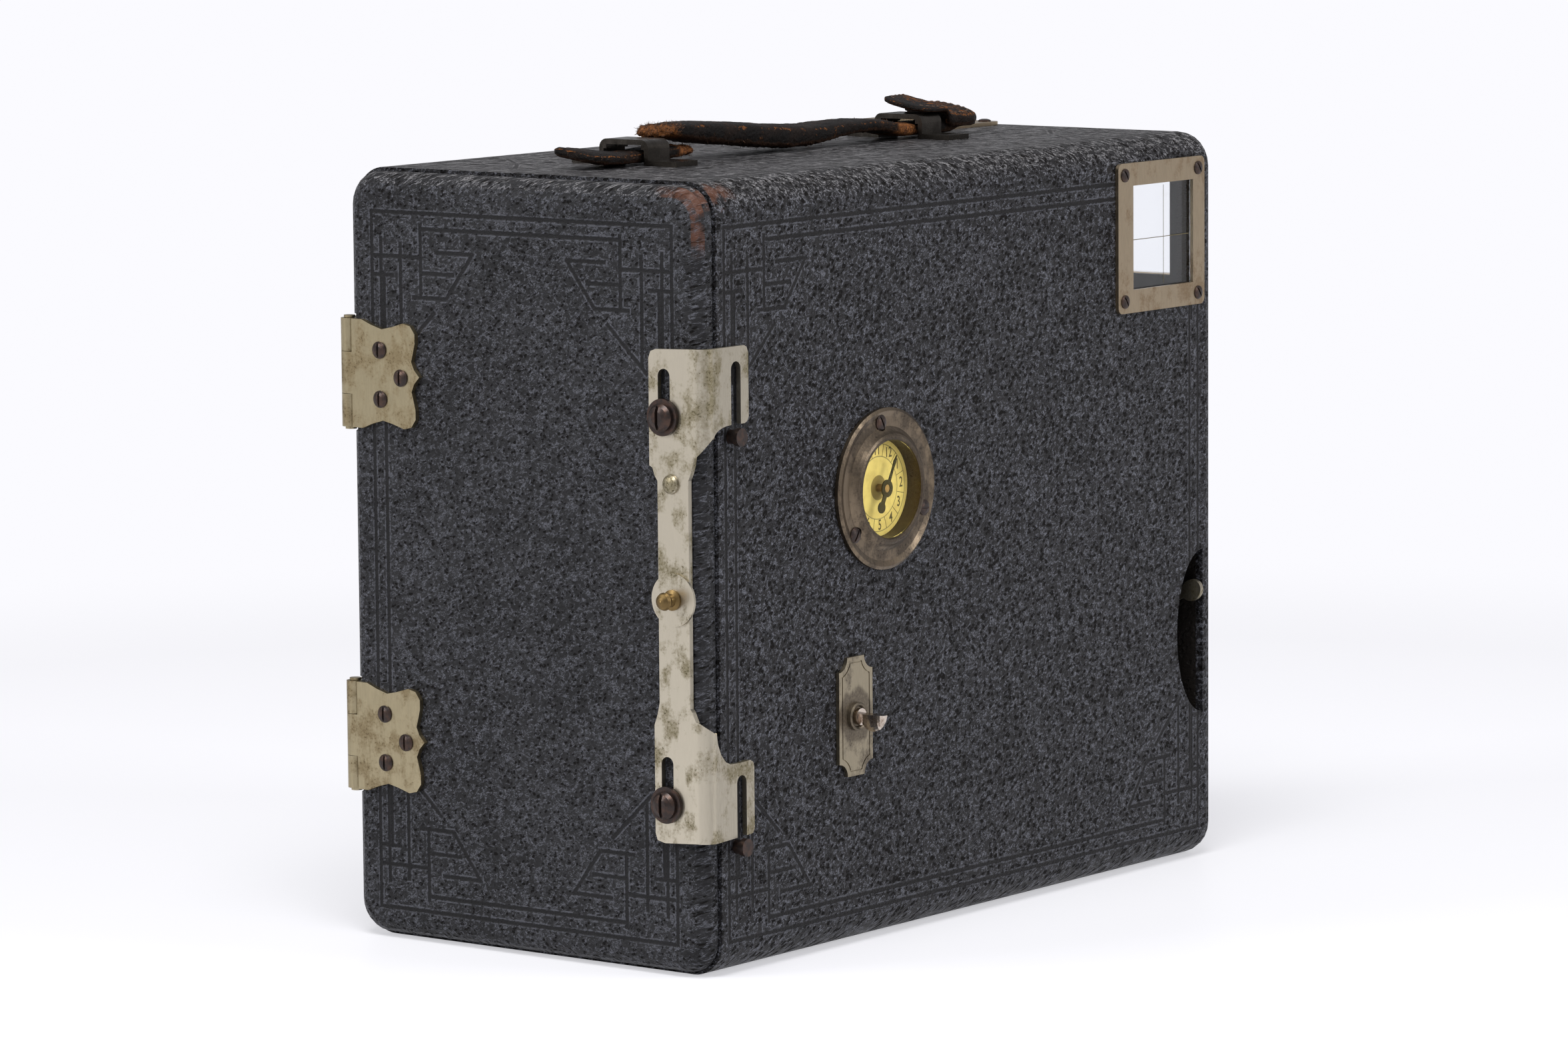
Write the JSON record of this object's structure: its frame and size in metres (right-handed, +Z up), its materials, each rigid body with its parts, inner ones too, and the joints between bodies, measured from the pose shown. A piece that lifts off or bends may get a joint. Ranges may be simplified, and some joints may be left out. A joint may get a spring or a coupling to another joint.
{
  "type": "box camera",
  "caption": "Leather covered box camera with a hinged rear door and sliding latch, counter dial, changing key, two finders, a torn carrying handle and a falling-plate magazine inside.",
  "frame": {"origin": "centre of the case's underside", "axes": "+Z up, +Y towards the hinged rear door, -Y the way the lens looks, -X towards the counter dial"},
  "size_m": [0.1136, 0.2107, 0.1848],
  "materials": {
    "leather_cover": "embossed, worn",
    "old_steel": "worn nickel, tarnished",
    "bright_steel": "worn",
    "old_brass": "tarnished",
    "black_paint": "matt black",
    "black_wood": "blackened",
    "clear_glass": "clear",
    "mirror_glass": "aged",
    "dial_face": "aged lacquer with printed figures",
    "hand_black": "blued",
    "emulsion": "coated plate",
    "handle_leather": "dry, scuffed and torn"
  },
  "bodies": {
    "case": {"case_top": "leather_cover", "case_base": "leather_cover", "case_counter_side": "leather_cover", "case_hinge_side": "leather_cover", "front_board": "leather_cover", "magazine_liner": "black_wood", "plate_ledge": "black_wood", "lens_partition": "black_wood", "finder_shelf": "black_wood", "lens_barrel": "old_brass", "lens_glasses": "clear_glass", "lens_ring": "old_brass", "shutter_post": "old_brass", "shutter_spring": "bright_steel", "side_finder_box": "black_paint", "top_finder_box": "black_paint", "finder_mirrors": "mirror_glass", "finder_lens_frames": "old_brass", "finder_lenses": "clear_glass", "side_finder_plate": "old_steel", "top_finder_plate": "old_steel", "finder_glasses": "clear_glass", "case_screws": "old_steel", "counter_bezel": "old_steel", "counter_dial": "dial_face", "counter_glass": "clear_glass", "counter_bridge": "old_brass", "key_plate": "old_steel", "bar_guides": "bright_steel", "release_spring": "bright_steel", "sheath_stack": "black_paint", "plate_glass_stack": "emulsion", "hinge_case_leaves": "old_steel", "hinge_pins": "old_steel", "latch_studs": "old_steel", "handle_loops": "old_steel", "tripod_bushes": "old_brass"},
    "door": {"door_panel": "leather_cover", "door_rebate": "black_wood", "hinge_door_leaves": "old_steel", "door_screws": "old_steel", "latch_washers": "old_steel"},
    "latch": {"latch_plate": "old_steel", "latch_knob": "old_brass", "latch_rivet": "old_steel"},
    "pressure": {"pressure_plate": "black_paint", "pressure_springs": "bright_steel"},
    "key": {"change_key": "old_steel", "key_crank": "old_brass"},
    "release": {"release_bar": "bright_steel"},
    "counter": {"counter_hand": "hand_black", "counter_wheel": "old_brass"},
    "shutter": {"shutter_lever": "old_steel", "shutter_sector": "black_paint"},
    "stops": {"stop_disc": "black_paint", "stop_knob": "old_brass"},
    "plate": {"front_sheath": "black_paint", "front_plate": "emulsion"},
    "strap": {"handle_strap": "handle_leather"},
    "torn_tab": {"handle_torn_tab": "handle_leather"}
  },
  "joints": [
    {"name": "door_swing", "type": "hinge", "parent": "case", "child": "door", "pos_m": [0.05045, 0.0992, 0.0875], "axis": [0, 0, -1], "range_deg": [0, 180]},
    {"name": "latch_slide", "type": "slide", "parent": "door", "child": "latch", "axis": [0, 0, 1], "range_m": [-0.009, 0.0024]},
    {"name": "pressure_travel", "type": "slide", "parent": "door", "child": "pressure", "axis": [0, 1, 0], "range_m": [0, 0.004], "stiffness_N_per_m": 300, "springref_m": -0.002},
    {"name": "key_turn", "type": "hinge", "parent": "case", "child": "key", "pos_m": [-0.05125, 0.0466, 0.0522], "axis": [-1, 0, 0], "range_deg": [0, 60]},
    {"name": "release_lift", "type": "slide", "parent": "case", "child": "release", "axis": [0, 0, 1], "range_m": [0, 0.004], "stiffness_N_per_m": 120, "springref_m": -0.004, "deforming": ["release_spring"]},
    {"name": "counter_turn", "type": "hinge", "parent": "case", "child": "counter", "pos_m": [-0.05125, 0.0345, 0.1024], "axis": [1, 0, 0], "range_deg": [0, 30]},
    {"name": "shutter_swing", "type": "hinge", "parent": "case", "child": "shutter", "pos_m": [-0.015, -0.0926, 0.055], "axis": [0, -1, 0], "range_deg": [0, 32]},
    {"name": "stop_turn", "type": "hinge", "parent": "case", "child": "stops", "pos_m": [0.004, -0.1, 0.0812], "axis": [0, -1, 0], "continuous": true},
    {"name": "plate_fall", "type": "hinge", "parent": "case", "child": "plate", "pos_m": [0.004, 0.047, 0.0462], "axis": [1, 0, 0], "range_deg": [0, 90]},
    {"name": "strap_slide", "type": "slide", "parent": "case", "child": "strap", "axis": [0, 1, 0], "range_m": [0, 0.003]},
    {"name": "torn_tab_slide", "type": "slide", "parent": "case", "child": "torn_tab", "axis": [0, 1, 0], "range_m": [0, 0.003]}
  ],
  "couplings": [
    {"joint": "key_turn", "follows": "release_lift", "rad_per_m": 261.8},
    {"joint": "counter_turn", "follows": "release_lift", "rad_per_m": 130.9}
  ]
}
